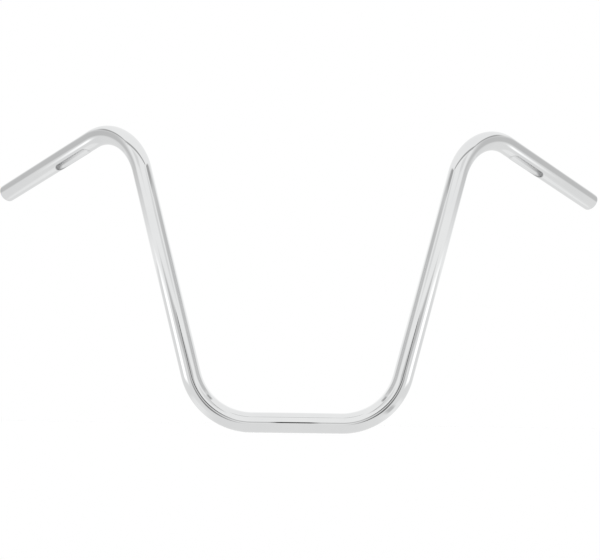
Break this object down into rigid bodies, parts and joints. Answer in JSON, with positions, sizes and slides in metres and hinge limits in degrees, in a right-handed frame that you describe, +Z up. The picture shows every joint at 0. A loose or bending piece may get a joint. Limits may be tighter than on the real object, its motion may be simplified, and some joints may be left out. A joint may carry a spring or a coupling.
{
  "type": "motorcycle handlebar",
  "caption": "Tall U-shaped motorcycle handlebar of chromed steel tube, its grip ends swept back and down, with a wiring recess pressed under each.",
  "frame": {"origin": "middle of the clamp section, on the tube's axis", "axes": "+X along the clamp section to one grip, +Y back to the rider, +Z up between the risers. The bar is a mirror image of itself across X = 0"},
  "size_m": [0.863, 0.1698, 0.3963],
  "materials": {
    "handlebar": "bright polished chrome plate"
  },
  "bodies": {
    "root": {"handlebar": "handlebar"}
  },
  "joints": []
}
